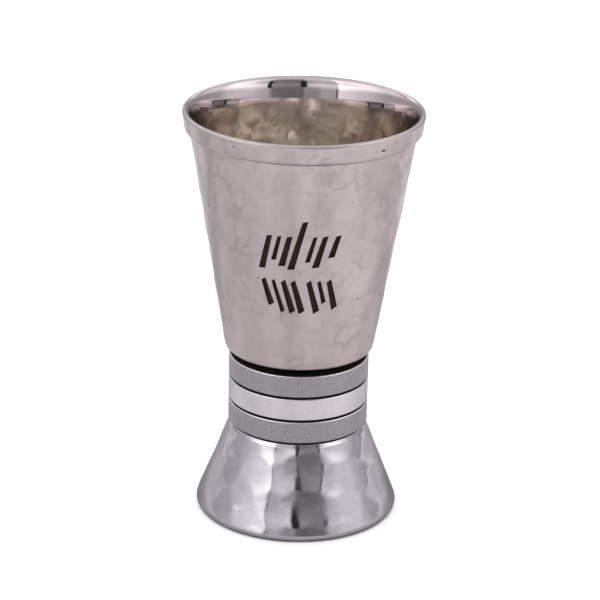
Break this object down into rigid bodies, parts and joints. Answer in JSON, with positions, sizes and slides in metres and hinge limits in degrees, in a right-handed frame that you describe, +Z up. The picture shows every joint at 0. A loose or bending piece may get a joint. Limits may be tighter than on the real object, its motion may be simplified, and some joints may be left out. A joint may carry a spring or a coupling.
{
  "type": "kiddush cup",
  "caption": "Small hammered metal kiddush cup: tapered steel bowl with a plain rim band on a stack of aluminium rings and a flared hammered foot.",
  "frame": {"origin": "middle of the foot's underside, on the surface that the cup stands on", "axes": "+Z up along the cup's axis; the side with the shallow strokes faces -Y"},
  "size_m": [0.0454, 0.0454, 0.08],
  "materials": {
    "steel": "hammered stainless steel, softly polished, with dark brown shallow strokes",
    "grey_aluminium": "satin grey anodised, fine even grain",
    "bright_aluminium": "bright, lightly polished",
    "foot_aluminium": "hammered and polished"
  },
  "bodies": {
    "root": {"bowl": "steel", "ring_upper": "grey_aluminium", "ring_middle": "bright_aluminium", "ring_lower": "grey_aluminium", "base": "foot_aluminium"}
  },
  "joints": []
}
